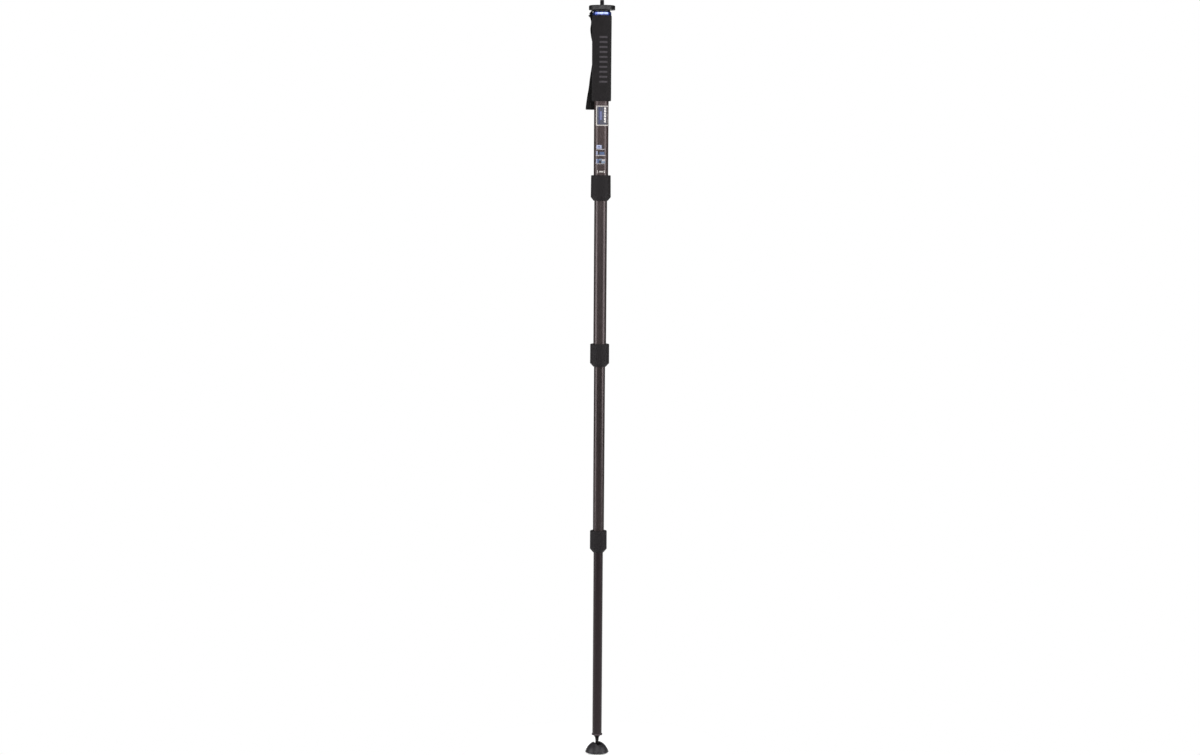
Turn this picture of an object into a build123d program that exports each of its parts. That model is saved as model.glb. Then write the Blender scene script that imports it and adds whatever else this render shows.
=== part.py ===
from build123d import *
import math
import os

# Sizes are in millimetres. The mast stands along +Z, the floor is z = 0 under
# the middle of the foot, and the front of the monopod faces -Y.

# Clearances
running_gap = 0.3           # between pieces that turn, tilt or slide past each other
bearing_gap = 0.1           # radial, at a fitted shaft, guide or ball
glue_gap = 0.05             # radial, between pieces fixed to each other
overrun = 2.0               # how far a cut runs past the face that it opens
same = 0.01                 # two measured values closer than this count as equal

# Carbon tubes, section 1 at the top and section 4 at the foot
tube_1_radius = 16.2
tube_wall = 1.2
guide_gap = 0.65            # radial, from a tube's bore to the tube inside it
tube_1_shown = 164.0        # from the grip down to the first lock
tube_2_shown = 320.3        # from lock to lock
tube_3_shown = 371.9
tube_4_shown = 417.3        # from the last lock down to the foot
tube_2_held = 70.0          # stays inside the section above when pulled out
tube_3_held = 60.0
tube_4_held = 60.0
shim_height = 22.0
shim_drop = 4.0             # from the tube's top edge to the shims
shim_break = 3.0            # gap between the two half shells
pip_radius = 2.5            # stud that snaps a shim into its tube

# Twist locks
lock_1_height = 56.7
lock_2_height = 51.3
lock_3_height = 49.3
lock_1_wall = 6.2           # from the upper tube's outside to the lock's widest line
lock_2_wall = 7.05
lock_3_wall = 6.5
lock_taper_height = 8.0
lock_tip_wall = 1.5         # how far the tapered tip stands off the lower tube
lock_1_flare = 0.45         # the lock widens this much from its top to the taper
lock_2_flare = 0.1
lock_3_flare = 0.1
lock_top_round = 1.6
sleeve_wall = 1.8           # rubber over the nut where it is thinnest
sleeve_lip = 2.0            # rubber turned in over the nut's top
flute_count = 30
flute_depth = 0.3
flute_radius = 2.0
flute_margin = 6.0          # plain rubber above and below the flutes
nut_rise = 3.0              # the nut's lower edge above the lock's
nut_rim_wall = 0.9
nut_floor = 5.0
wiper_height = 2.5
wiper_width = 1.45
collar_wall = 1.55
collar_drop = 1.5           # from the rubber lip down to the collar's top
collet_height = 14.4
collet_head = 4.0
collet_nose_wall = 0.9
collet_slot_width = 1.2
collet_slot_count = 6

# Grip and accent ring
grip_length = 188.8
grip_top_wall = 5.5
grip_bottom_wall = 5.3
grip_round = 2.2
ring_height = 8.5
ring_wall = 4.6
ring_chamfer = 2.2

# Head: plug, neck, platform and camera screw
plug_depth = 20.0
plug_flange = 2.5
plug_wall = 4.0
neck_radius = 14.0
neck_height = 3.1
boss_radius = 8.0
boss_height = 5.0
platform_radius = 29.15
platform_thickness = 10.0
platform_top_round = 1.6
platform_bottom_round = 1.0
pad_outer_radius = 26.6
pad_inner_radius = 9.5
pad_thickness = 1.2
pad_proud = 0.4             # how far the pad stands above the metal
stud_radius = 9.525 / 2     # 3/8 inch camera screw
stud_length = 12.6
stud_chamfer = 0.9
stud_flange_radius = 7.5
stud_flange = 2.0
stud_tail_radius = 6.35 / 2     # 1/4 inch end, turned inwards
stud_tail = 10.0
stud_slot_width = 1.4
stud_slot_depth = 1.6
grub_radius = 1.5
grub_length = 7.0
grub_angle = 55.0           # degrees from +X, at the back of the platform

# Wrist strap, its swivelling collar and its bar
strap_angle = 118.0         # degrees from +X to where the strap hangs
strap_collar_radius = 18.0
strap_bar_reach = 27.0      # from the mast's axis to the bar
strap_bar_drop = 7.0        # from the platform's underside to the bar
strap_bar_radius = 1.5
strap_lug_radius = 1.9
strap_arm_width = 2.4
strap_arm_root = 5.0        # where each arm leaves the collar
strap_arm_bend = 17.0       # where each arm turns down to the bar
strap_width = 25.0
strap_thickness = 1.6
strap_side_gap = 1.5        # from the webbing's edge to each arm
strap_hang = 211.4          # from the bar to the lowest point of the loop

# Places down the hanging webbing, as shares of the hang below the bar, then as
# shares of the strap's width: out from the mast, and sideways
inner_strand_shares = (
    (0.085, 0.972, 0.000), (0.155, 0.976, 0.148), (0.230, 0.980, 0.080),
    (0.305, 0.984, -0.060), (0.420, 0.988, -0.120), (0.520, 0.992, -0.060),
    (0.595, 0.992, 0.044), (0.675, 0.996, 0.156), (0.760, 1.000, 0.244),
    (0.845, 1.008, 0.372), (0.930, 1.024, 0.484), (0.968, 1.040, 0.516),
)
outer_strand_shares = (
    (0.010, 1.240, 0.090), (0.020, 1.264, 0.210), (0.040, 1.224, 0.050),
    (0.085, 1.208, -0.044), (0.155, 1.290, -0.019), (0.230, 1.380, -0.132),
    (0.305, 1.460, -0.313), (0.420, 1.560, -0.424), (0.520, 1.580, -0.372),
    (0.595, 1.560, -0.258), (0.675, 1.500, -0.112), (0.760, 1.410, 0.026),
    (0.845, 1.310, 0.212), (0.930, 1.190, 0.396), (0.968, 1.120, 0.474),
)
strap_end_shares = (1.0, 1.080, 0.490)
wrap_steps = 4              # straight facets in each half turn round the bar

# Foot
ball_height = 12.0          # ball centre above the floor
ball_radius = 6.0
stem_length = 28.0          # from the ball's centre to the plug's flange
stem_neck_radius = 3.5
stem_neck_length = 15.5     # from the ball's centre up to the shoulder
stem_shoulder_radius = 4.05
stem_shoulder_rise = 1.5
stem_cone_radius = 7.8
stem_cone_height = 7.5
shank_radius = 4.0
shank_length = 21.0
foot_flange_radius = 12.1
foot_flange_height = 3.2
foot_flange_bevel = 0.9
foot_spigot_length = 28.0
foot_web = 13.0             # solid length that carries the shank
foot_plug_wall = 2.4
clip_thickness = 1.0
clip_width = 2.6
clip_seat_depth = 0.7
clip_break_width = 3.0
thrust_washer_thickness = 0.6
liner_wall = 1.9
liner_mouth_angle = 50.0    # degrees from the stem to the liner's rim
dome_radius = 26.3
dome_height = 22.7
dome_crown_radius = 9.0
dome_edge_height = 0.9
dome_belly_share = 0.80     # radius half way up the dome's side
dome_belly_rise_share = 0.545
slot_width = 12.4
slot_depth = 5.0
slot_angle = 25.0           # degrees that the slot is turned from front to back
tilt_limit = 35.0           # degrees, dome against stem along the slot
core_radius = 17.0
core_shoulder_height = 6.5
core_top_radius = 12.5
core_top_drop = 1.4         # from the slot's floor to the core's top
core_plug_height = 4.6
sole_thickness = 2.0
sole_radius = 19.0
tread_groove_width = 1.2
tread_groove_depth = 0.7
tread_groove_count = 2


def tube_radius(section):
    """Outside radius of a section's tube."""
    return tube_1_radius - (section - 1) * (tube_wall + guide_gap)


def bore_radius(section):
    """Inside radius of a section's tube."""
    return tube_radius(section) - tube_wall


class Lock:
    """Radii of one twist lock and its heights above the floor."""

    def __init__(self, number, bottom, height, wall, flare):
        self.number = number
        self.flare = flare
        self.bottom = bottom
        self.top = bottom + height
        self.upper_tube = tube_radius(number)
        self.lower_tube = tube_radius(number + 1)
        self.widest = self.upper_tube + wall
        self.top_radius = self.widest - flare
        self.tip_radius = self.lower_tube + lock_tip_wall
        self.taper_top = bottom + lock_taper_height
        self.nut_radius = self.top_radius - sleeve_wall
        self.nut_bottom = bottom + nut_rise
        self.nut_top = self.top - sleeve_lip
        self.wiper_radius = self.lower_tube + bearing_gap + wiper_width
        self.floor_top = self.nut_bottom + nut_floor
        self.collet_bottom = self.floor_top + 2 * running_gap
        self.tube_end = self.collet_bottom + collet_height
        self.collar_radius = self.upper_tube + glue_gap + collar_wall
        self.collar_top = self.nut_top - collar_drop
        self.thread_radius = self.collar_radius + running_gap


# Heights of the mast, from the floor up
flange_bottom = ball_height + stem_length
tube_4_bottom = flange_bottom + foot_flange_height
lock_3 = Lock(3, tube_4_bottom + tube_4_shown, lock_3_height, lock_3_wall, lock_3_flare)
lock_2 = Lock(2, lock_3.top + tube_3_shown, lock_2_height, lock_2_wall, lock_2_flare)
lock_1 = Lock(1, lock_2.top + tube_2_shown, lock_1_height, lock_1_wall, lock_1_flare)
grip_bottom = lock_1.top + tube_1_shown
ring_bottom = grip_bottom + grip_length
neck_bottom = ring_bottom + ring_height
tube_1_top = neck_bottom - plug_flange
platform_bottom = neck_bottom + neck_height
platform_top = platform_bottom + platform_thickness
stud_top = platform_top + stud_length
strap_bar_height = platform_bottom - strap_bar_drop

tube_spans = {
    1: (lock_1.tube_end, tube_1_top),
    2: (lock_2.tube_end, lock_1.bottom + tube_2_held),
    3: (lock_3.tube_end, lock_2.bottom + tube_3_held),
    4: (tube_4_bottom, lock_3.bottom + tube_4_held),
}


def turned(outline):
    """Solid turned about the mast's axis from (radius, height) corners."""
    corners = [(radius, 0, height) for radius, height in outline]
    return revolve(make_face(Polyline(*corners, close=True)), Axis.Z)


def ring(inner, outer, bottom, top):
    """Plain ring about the mast's axis."""
    return turned([(inner, bottom), (outer, bottom), (outer, top), (inner, top)])


def rod(radius, bottom, top):
    """Plain cylinder on the mast's axis."""
    return Pos(0, 0, bottom) * Cylinder(radius, top - bottom, align=(Align.CENTER, Align.CENTER, Align.MIN))


def ball(radius, height):
    """Ball on the mast's axis."""
    return Pos(0, 0, height) * Sphere(radius)


def rims(solid, radius, height):
    """Round edges of a turned solid at one radius and height."""
    circles = solid.edges().filter_by(GeomType.CIRCLE)
    return [edge for edge in circles
            if abs(edge.radius - radius) < same and abs(edge.arc_center.Z - height) < same]


def around(count, piece, start=0.0):
    """Copies of a piece spread evenly about the mast's axis."""
    return [Rot(0, 0, start + 360 * index / count) * piece for index in range(count)]


def make_tube(section):
    """Carbon tube, with holes for its shims' pips where it slides in another."""
    bottom, top = tube_spans[section]
    tube = ring(bore_radius(section), tube_radius(section), bottom, top)
    if section == 1:
        return tube
    hole = radial_pin(pip_radius + glue_gap, 0, tube_radius(section) + overrun, shim_middle(section))
    return tube - around(2, hole)


def radial_pin(radius, inner, outer, height):
    """Cylinder that points outwards along +X."""
    pin = Rot(0, 90, 0) * Cylinder(radius, outer - inner, align=(Align.CENTER, Align.CENTER, Align.MIN))
    return Pos(inner, 0, height) * pin


def shim_middle(section):
    """Height of the middle of a section's guide shims."""
    return tube_spans[section][1] - shim_drop - shim_height / 2


def make_guide_shims(section):
    """Two half shells with pips that guide the tube in the one above."""
    middle = shim_middle(section)
    inner = tube_radius(section) + glue_gap
    outer = tube_radius(section) + guide_gap - bearing_gap
    shell = ring(inner, outer, middle - shim_height / 2, middle + shim_height / 2)
    half = shell & Pos(outer, 0, middle) * Box(2 * outer - shim_break, 2 * outer, shim_height)
    pip = radial_pin(pip_radius, bore_radius(section), (inner + outer) / 2, middle)
    return around(2, half + pip)


def make_lock_collar(lock):
    """Threaded sleeve glued round the lower end of the upper tube."""
    inner = lock.upper_tube + glue_gap
    collar = ring(inner, lock.collar_radius, lock.tube_end, lock.collar_top)
    return chamfer(rims(collar, lock.collar_radius, lock.collar_top), collar_wall / 2)


def make_lock_collet(lock):
    """Split tapered ring that the nut squeezes onto the lower tube."""
    inner = lock.lower_tube + bearing_gap
    head = lock.collar_radius - running_gap
    collet = turned([
        (inner, lock.collet_bottom),
        (inner + collet_nose_wall, lock.collet_bottom),
        (head, lock.tube_end - collet_head),
        (head, lock.tube_end),
        (inner, lock.tube_end),
    ])
    slot = Pos(head, 0, lock.collet_bottom) * Box(
        2 * head - collet_slot_width, collet_slot_width, 2 * (collet_height - collet_head))
    split = Pos(head, 0, lock.collet_bottom) * Box(
        2 * head - collet_slot_width, collet_slot_width, 2 * (collet_height + overrun))
    return collet - around(collet_slot_count, slot) - split


def make_lock_nut(lock):
    """Hard nut with a thread bore above and a closing cone round the collet."""
    clear = lock.lower_tube + running_gap
    wiper_top = lock.nut_bottom + wiper_height
    return turned([
        (lock.wiper_radius + glue_gap, lock.nut_bottom),
        (lock.wiper_radius + nut_rim_wall, lock.nut_bottom),
        (lock.nut_radius, lock.taper_top),
        (lock.nut_radius, lock.nut_top),
        (lock.thread_radius, lock.nut_top),
        (lock.thread_radius, lock.tube_end - collet_head),
        (clear + collet_nose_wall + bearing_gap, lock.floor_top),
        (clear, lock.floor_top),
        (clear, wiper_top),
        (lock.wiper_radius + glue_gap, wiper_top),
    ])


def make_lock_wiper(lock):
    """Soft ring in the nut's floor that keeps grit out."""
    inner = lock.lower_tube + bearing_gap
    return ring(inner, lock.wiper_radius, lock.nut_bottom, lock.nut_bottom + wiper_height)


def make_lock_sleeve(lock):
    """Fluted rubber sleeve over the nut, tapered at its lower end."""
    lip_radius = lock.upper_tube + running_gap
    tip_bore = lock.lower_tube + running_gap
    seat = lock.nut_radius + glue_gap
    sleeve = turned([
        (tip_bore, lock.bottom),
        (lock.tip_radius, lock.bottom),
        (lock.widest, lock.taper_top),
        (lock.top_radius, lock.top),
        (lip_radius, lock.top),
        (lip_radius, lock.nut_top),
        (seat, lock.nut_top),
        (seat, lock.taper_top),
        (lock.wiper_radius + nut_rim_wall + glue_gap, lock.nut_bottom),
        (tip_bore, lock.nut_bottom),
    ])
    sleeve = fillet(rims(sleeve, lock.top_radius, lock.top), lock_top_round)
    lean = math.degrees(math.atan2(lock.flare, lock.top - lock.taper_top))
    height = lock.top - lock.taper_top - 2 * flute_margin
    middle = (lock.top + lock.taper_top) / 2
    centre = lock.widest - lock.flare / 2 + flute_radius - flute_depth
    flute = Pos(centre, 0, middle) * Rot(0, -lean, 0) * Cylinder(flute_radius, height)
    return sleeve - around(flute_count, flute)


def make_foam_grip():
    """Foam tube round the top of section 1, with rounded ends."""
    bore = tube_1_radius + glue_gap
    top_radius = tube_1_radius + grip_top_wall
    bottom_radius = tube_1_radius + grip_bottom_wall
    grip = turned([
        (bore, grip_bottom), (bottom_radius, grip_bottom), (top_radius, ring_bottom), (bore, ring_bottom),
    ])
    ends = rims(grip, bottom_radius, grip_bottom) + rims(grip, top_radius, ring_bottom)
    return fillet(ends, grip_round)


def make_accent_ring():
    """Anodised ring between the grip and the neck."""
    outer = tube_1_radius + ring_wall
    blank = ring(tube_1_radius + glue_gap, outer, ring_bottom, neck_bottom)
    return chamfer(rims(blank, outer, neck_bottom), ring_chamfer)


def make_top_plug():
    """Plug in the top of section 1, with the neck and the platform's boss."""
    spigot = bore_radius(1) - glue_gap
    spigot_bottom = tube_1_top - plug_depth
    stud_hole = stud_tail_radius + running_gap
    return turned([
        (spigot - plug_wall, spigot_bottom),
        (spigot, spigot_bottom),
        (spigot, tube_1_top),
        (tube_1_radius, tube_1_top),
        (tube_1_radius, neck_bottom),
        (neck_radius, neck_bottom),
        (neck_radius, platform_bottom),
        (boss_radius, platform_bottom),
        (boss_radius, platform_bottom + boss_height),
        (stud_hole, platform_bottom + boss_height),
        (stud_hole, tube_1_top - plug_wall),
        (spigot - plug_wall, tube_1_top - plug_wall),
    ])


def make_platform():
    """Camera platform, recessed for its pad and the screw's flange."""
    pad_seat = platform_top - (pad_thickness - pad_proud)
    flange_seat = platform_top - stud_flange
    disc = rod(platform_radius, platform_bottom, platform_top)
    disc = fillet(rims(disc, platform_radius, platform_top), platform_top_round)
    disc = fillet(rims(disc, platform_radius, platform_bottom), platform_bottom_round)
    disc -= rod(boss_radius + glue_gap, platform_bottom - overrun, platform_bottom + boss_height)
    disc -= rod(stud_tail_radius + running_gap, platform_bottom, platform_top)
    disc -= rod(stud_flange_radius + glue_gap, flange_seat, platform_top + overrun)
    disc -= ring(pad_inner_radius - glue_gap, pad_outer_radius + glue_gap, pad_seat, platform_top + overrun)
    hole = radial_pin(grub_radius + glue_gap, 0, platform_radius + overrun, grub_height())
    return disc - Rot(0, 0, grub_angle) * hole


def grub_height():
    """Height of the grub screw that locks the platform on its boss."""
    return platform_bottom + boss_height / 2


def make_platform_pad():
    """Rubber pad let into the platform's top."""
    return ring(pad_inner_radius, pad_outer_radius,
                platform_top - (pad_thickness - pad_proud), platform_top + pad_proud)


def make_grub_screw():
    """Headless screw at the back of the platform."""
    inner = boss_radius + running_gap
    return Rot(0, 0, grub_angle) * radial_pin(grub_radius, inner, inner + grub_length, grub_height())


def make_camera_stud():
    """Reversible camera screw, with its larger thread upwards."""
    flange_seat = platform_top - stud_flange
    screw = rod(stud_tail_radius, flange_seat - stud_tail, flange_seat)
    screw += rod(stud_flange_radius, flange_seat, platform_top)
    screw += rod(stud_radius, platform_top, stud_top)
    screw = chamfer(rims(screw, stud_radius, stud_top), stud_chamfer)
    slot = Box(2 * stud_radius + overrun, stud_slot_width, 2 * stud_slot_depth)
    return screw - Pos(0, 0, stud_top) * slot


def make_strap_collar():
    """Ring that turns round the neck and carries the strap's bar on two arms."""
    bottom = neck_bottom + running_gap
    top = platform_bottom - running_gap
    half_span = strap_width / 2 + strap_side_gap
    collar = ring(neck_radius + running_gap, strap_collar_radius, bottom, top)
    arm_outline = Polyline(
        (strap_arm_root, 0, bottom), (strap_arm_bend, 0, bottom),
        (strap_bar_reach - strap_lug_radius, 0, strap_bar_height),
        (strap_bar_reach, 0, strap_bar_height + strap_lug_radius),
        (strap_arm_bend + (top - bottom), 0, top), (strap_arm_root, 0, top), close=True)
    arm = extrude(make_face(arm_outline), strap_arm_width, dir=(0, 1, 0))
    lug = Rot(-90, 0, 0) * Cylinder(
        strap_lug_radius, strap_arm_width, align=(Align.CENTER, Align.CENTER, Align.MIN))
    arm += Pos(strap_bar_reach, 0, strap_bar_height) * lug
    bar = Rot(90, 0, 0) * Cylinder(strap_bar_radius, 2 * half_span + strap_arm_width)
    collar += Pos(0, half_span, 0) * arm
    collar += Pos(0, -half_span - strap_arm_width, 0) * arm
    collar += Pos(strap_bar_reach, 0, strap_bar_height) * bar
    return Rot(0, 0, strap_angle) * collar


def strand_places(shares):
    """Centres down one strand as (out from the axis, sideways, height)."""
    return [(strap_width * out, strap_width * side, strap_bar_height - strap_hang * down)
            for down, out, side in shares]


def wrap_places(first, last):
    """Centres round the bar between two angles in degrees."""
    bend = strap_bar_radius + running_gap + strap_thickness / 2
    turn = (last - first) / wrap_steps
    angles = [math.radians(first + turn * step) for step in range(wrap_steps + 1)]
    return [(strap_bar_reach + bend * math.cos(angle), 0, strap_bar_height + bend * math.sin(angle))
            for angle in angles]


def webbing(places, start_way, end_way):
    """Flat webbing through its centres, square to its run at each of them."""
    sections = []
    for index, (out, side, height) in enumerate(places):
        before = places[max(index - 1, 0)]
        after = places[min(index + 1, len(places) - 1)]
        way = (after[0] - before[0], after[2] - before[2])
        if index == 0 and start_way:
            way = start_way
        if index == len(places) - 1 and end_way:
            way = end_way
        size = math.hypot(*way)
        thick = (way[1] / size * strap_thickness / 2, -way[0] / size * strap_thickness / 2)
        corners = [
            (out + end * thick[0], side + edge * strap_width / 2, height + end * thick[1])
            for end, edge in ((-1, -1), (1, -1), (1, 1), (-1, 1))
        ]
        sections.append(make_face(Polyline(*corners, close=True)))
    return loft(sections, ruled=True)


def make_strap_webbing():
    """Closed loop of webbing round the bar: two strands and a fold below."""
    up = (0, 1)
    inward = (-1, 0)
    down, out, side = strap_end_shares
    fold = (strap_width * out, strap_width * side, strap_bar_height - strap_hang * down)
    inner = [fold] + strand_places(reversed(inner_strand_shares)) + wrap_places(180, 90)
    outer = wrap_places(90, 0) + strand_places(outer_strand_shares) + [fold]
    loop = webbing(inner, inward, (1, 0)) + webbing(outer, (1, 0), inward)
    return Rot(0, 0, strap_angle) * loop


def make_foot_plug():
    """Plug in the foot end of section 4, with a bevelled flange."""
    spigot = bore_radius(4) - glue_gap
    shank_hole = shank_radius + bearing_gap
    web_top = flange_bottom + foot_web
    spigot_top = tube_4_bottom + foot_spigot_length
    plug = turned([
        (shank_hole, flange_bottom),
        (foot_flange_radius, flange_bottom),
        (foot_flange_radius, tube_4_bottom),
        (spigot, tube_4_bottom),
        (spigot, spigot_top),
        (spigot - foot_plug_wall, spigot_top),
        (spigot - foot_plug_wall, web_top),
        (shank_hole, web_top),
    ])
    overhang = foot_flange_radius - tube_radius(4)
    upper_edge = rims(plug, foot_flange_radius, tube_4_bottom)
    return chamfer(upper_edge, foot_flange_bevel, min(foot_flange_bevel, overhang))


def washer_bottom():
    """Height of the thrust washer on the plug's web."""
    return flange_bottom + foot_web + running_gap


def clip_bottom():
    """Height of the clip that holds the stem in the plug."""
    return washer_bottom() + thrust_washer_thickness + bearing_gap


def make_ball_stem():
    """Turned stem: ball, neck, cone and the shank that spins in the plug."""
    shoulder = ball_height + stem_neck_length
    cone_top = flange_bottom - running_gap
    groove_radius = shank_radius - clip_seat_depth
    groove = (clip_bottom() - glue_gap, clip_bottom() + clip_thickness + glue_gap)
    stem = turned([
        (0, ball_height),
        (stem_neck_radius, ball_height),
        (stem_neck_radius, shoulder),
        (stem_shoulder_radius, shoulder + stem_shoulder_rise),
        (stem_shoulder_radius, cone_top - stem_cone_height),
        (stem_cone_radius, cone_top),
        (shank_radius, cone_top),
        (shank_radius, groove[0]),
        (groove_radius, groove[0]),
        (groove_radius, groove[1]),
        (shank_radius, groove[1]),
        (shank_radius, flange_bottom + shank_length),
        (0, flange_bottom + shank_length),
    ])
    return stem + ball(ball_radius, ball_height)


def make_thrust_washer():
    """Slippery washer between the clip and the plug."""
    bottom = washer_bottom()
    top = bottom + thrust_washer_thickness
    return ring(shank_radius + glue_gap, shank_radius + clip_width, bottom, top)


def make_stem_clip():
    """Split spring clip in the shank's groove."""
    inner = shank_radius - clip_seat_depth + glue_gap
    bottom = clip_bottom()
    clip = ring(inner, inner + clip_width, bottom, bottom + clip_thickness)
    return clip - Pos(shank_radius, 0, bottom) * Box(
        2 * shank_radius, clip_break_width, 2 * (clip_thickness + overrun))


def liner_radius():
    """Outside radius of the socket liner round the ball."""
    return ball_radius + bearing_gap + liner_wall


def make_socket_liner():
    """Slippery cup that snaps over the ball."""
    cup = ball(liner_radius(), ball_height) - ball(ball_radius + bearing_gap, ball_height)
    reach = liner_radius() + overrun
    mouth = turned([
        (0, ball_height), (reach * math.tan(math.radians(liner_mouth_angle)), ball_height + reach),
        (0, ball_height + reach),
    ])
    return cup - mouth


def stem_way(top):
    """Space that the stem sweeps in the foot as it tilts along the slot."""
    lean = math.radians(tilt_limit)
    foot_half = stem_neck_radius / math.cos(lean) + running_gap
    top_half = foot_half + (top - ball_height) * math.tan(lean)
    outline = Polyline(
        (0, -foot_half, ball_height), (0, foot_half, ball_height),
        (0, top_half, top), (0, -top_half, top), close=True)
    return extrude(make_face(outline), slot_width / 2, dir=(1, 0, 0), both=True)


def slot_floor():
    """Height of the floor of the slot across the dome's top."""
    return dome_height - slot_depth


def core_outline(gap):
    """Corners of the hard core, grown by a gap."""
    top = slot_floor() - core_top_drop + gap
    return [
        (0, sole_thickness), (core_radius + gap, sole_thickness),
        (core_radius + gap, sole_thickness + core_shoulder_height),
        (core_top_radius + gap, top), (0, top),
    ]


def make_foot_dome():
    """Rubber dome with a slot across its top, moulded over the core."""
    crown = dome_radius - dome_crown_radius
    side = ThreePointArc(
        (dome_radius, 0, dome_edge_height),
        (dome_radius * dome_belly_share, 0, dome_height * dome_belly_rise_share),
        (dome_crown_radius, 0, dome_height))
    edge = Polyline(
        (dome_crown_radius, 0, dome_height), (0, 0, dome_height), (0, 0, 0),
        (dome_radius - dome_edge_height, 0, 0), (dome_radius, 0, dome_edge_height))
    dome = revolve(make_face([side, edge]), Axis.Z)
    dome -= turned(core_outline(glue_gap))
    dome -= ball(liner_radius() + running_gap, ball_height)
    dome -= rod(sole_radius + glue_gap, -overrun, sole_thickness)
    dome -= Pos(0, 0, slot_floor() + crown) * Box(slot_width, 2 * (dome_radius + overrun), 2 * crown)
    return Rot(0, 0, slot_angle) * (dome - stem_way(dome_height + overrun))


def make_foot_core():
    """Hard core with the liner's socket, open below for assembly."""
    socket = liner_radius() + running_gap
    core = turned(core_outline(0))
    core -= ball(socket, ball_height)
    core -= rod(socket, sole_thickness - overrun, ball_height)
    return Rot(0, 0, slot_angle) * (core - stem_way(dome_height))


def make_core_plug():
    """Dished plug that closes the socket from below."""
    socket = liner_radius() + running_gap
    plug = rod(socket - glue_gap, sole_thickness, sole_thickness + core_plug_height)
    return plug - ball(socket, ball_height)


def make_sole_pad():
    """Rubber sole with ring-shaped treads."""
    sole = rod(sole_radius, 0, sole_thickness)
    for groove in range(1, tread_groove_count + 1):
        inner = sole_radius * groove / (tread_groove_count + 1) - tread_groove_width / 2
        sole -= ring(inner, inner + tread_groove_width, -overrun, tread_groove_depth)
    return sole


def save(name, piece):
    """Write one sub-part as a STEP file."""
    solids = piece if isinstance(piece, list) else [piece]
    shape = solids[0] if len(solids) == 1 else Compound(children=solids)
    export_step(shape, os.path.join("parts", name + ".step"))


os.makedirs("parts", exist_ok=True)

save("camera_stud", make_camera_stud())
save("platform", make_platform())
save("platform_pad", make_platform_pad())
save("platform_grub_screw", make_grub_screw())
save("top_plug", make_top_plug())
save("accent_ring", make_accent_ring())
save("foam_grip", make_foam_grip())
save("strap_collar", make_strap_collar())
save("strap_webbing", make_strap_webbing())

for section in tube_spans:
    save(f"tube_{section}", make_tube(section))
    if section > 1:
        save(f"guide_shims_{section}", make_guide_shims(section))

for lock in (lock_1, lock_2, lock_3):
    save(f"lock_collar_{lock.number}", make_lock_collar(lock))
    save(f"lock_collet_{lock.number}", make_lock_collet(lock))
    save(f"lock_nut_{lock.number}", make_lock_nut(lock))
    save(f"lock_wiper_{lock.number}", make_lock_wiper(lock))
    save(f"lock_sleeve_{lock.number}", make_lock_sleeve(lock))

save("foot_plug", make_foot_plug())
save("ball_stem", make_ball_stem())
save("thrust_washer", make_thrust_washer())
save("stem_clip", make_stem_clip())
save("socket_liner", make_socket_liner())
save("foot_dome", make_foot_dome())
save("foot_core", make_foot_core())
save("core_plug", make_core_plug())
save("sole_pad", make_sole_pad())
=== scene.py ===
import math

import bmesh
import bpy
from mathutils import Matrix, Vector


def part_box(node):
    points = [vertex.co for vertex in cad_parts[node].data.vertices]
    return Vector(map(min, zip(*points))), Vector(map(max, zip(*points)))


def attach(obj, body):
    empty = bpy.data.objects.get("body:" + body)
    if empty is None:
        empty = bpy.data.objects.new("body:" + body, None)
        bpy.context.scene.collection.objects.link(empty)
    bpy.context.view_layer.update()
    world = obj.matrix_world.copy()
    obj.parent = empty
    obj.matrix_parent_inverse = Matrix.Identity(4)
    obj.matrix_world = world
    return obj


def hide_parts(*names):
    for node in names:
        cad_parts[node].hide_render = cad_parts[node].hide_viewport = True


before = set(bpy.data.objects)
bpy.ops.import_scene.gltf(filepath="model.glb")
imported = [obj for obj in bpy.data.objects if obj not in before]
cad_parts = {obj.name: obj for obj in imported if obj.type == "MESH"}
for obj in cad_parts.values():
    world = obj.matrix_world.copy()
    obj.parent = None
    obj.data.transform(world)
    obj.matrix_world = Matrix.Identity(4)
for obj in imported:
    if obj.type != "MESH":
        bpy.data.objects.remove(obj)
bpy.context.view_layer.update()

# Sizes are in metres. The mast stands along +Z and its front faces -Y.
MM = 0.001
FULL_TURN = 2 * math.pi

# Places and sizes that the CAD gives
grip_low, grip_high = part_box("foam_grip")
ring_low, ring_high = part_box("accent_ring")
plate_low, plate_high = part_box("platform")
stud_low, stud_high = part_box("camera_stud")
tube_radius = 16.2 * MM                    # outside of the top tube
strap_width, strap_thick = 25.0 * MM, 1.6 * MM
collar_edge = 18.0 * MM                    # radius of the strap collar's rubbed edge


# Materials

noise_roughness = 0.55
noise_spread = (0.3, 0.7)                  # nearly all of a noise lies between these
tow_length = 2.0 * MM                      # height of one cell of the carbon weave
tows_over = 2.0                            # cells that a tow passes over, and then under
lathe_pitch = 0.22 * MM
rib_count = 20.0                           # ribs across the webbing
rib_float, rib_slant = 1.6, 0.8            # along the webbing, in mm
dust_share = 0.25


def srgb(code):
    """A colour written as six hex digits, as linear red, green, blue, alpha."""
    channels = [int(code[i:i + 2], 16) / 255 for i in (0, 2, 4)]
    linear = [c / 12.92 if c <= 0.04045 else ((c + 0.055) / 1.055) ** 2.4 for c in channels]
    return (*linear, 1.0)


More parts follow.
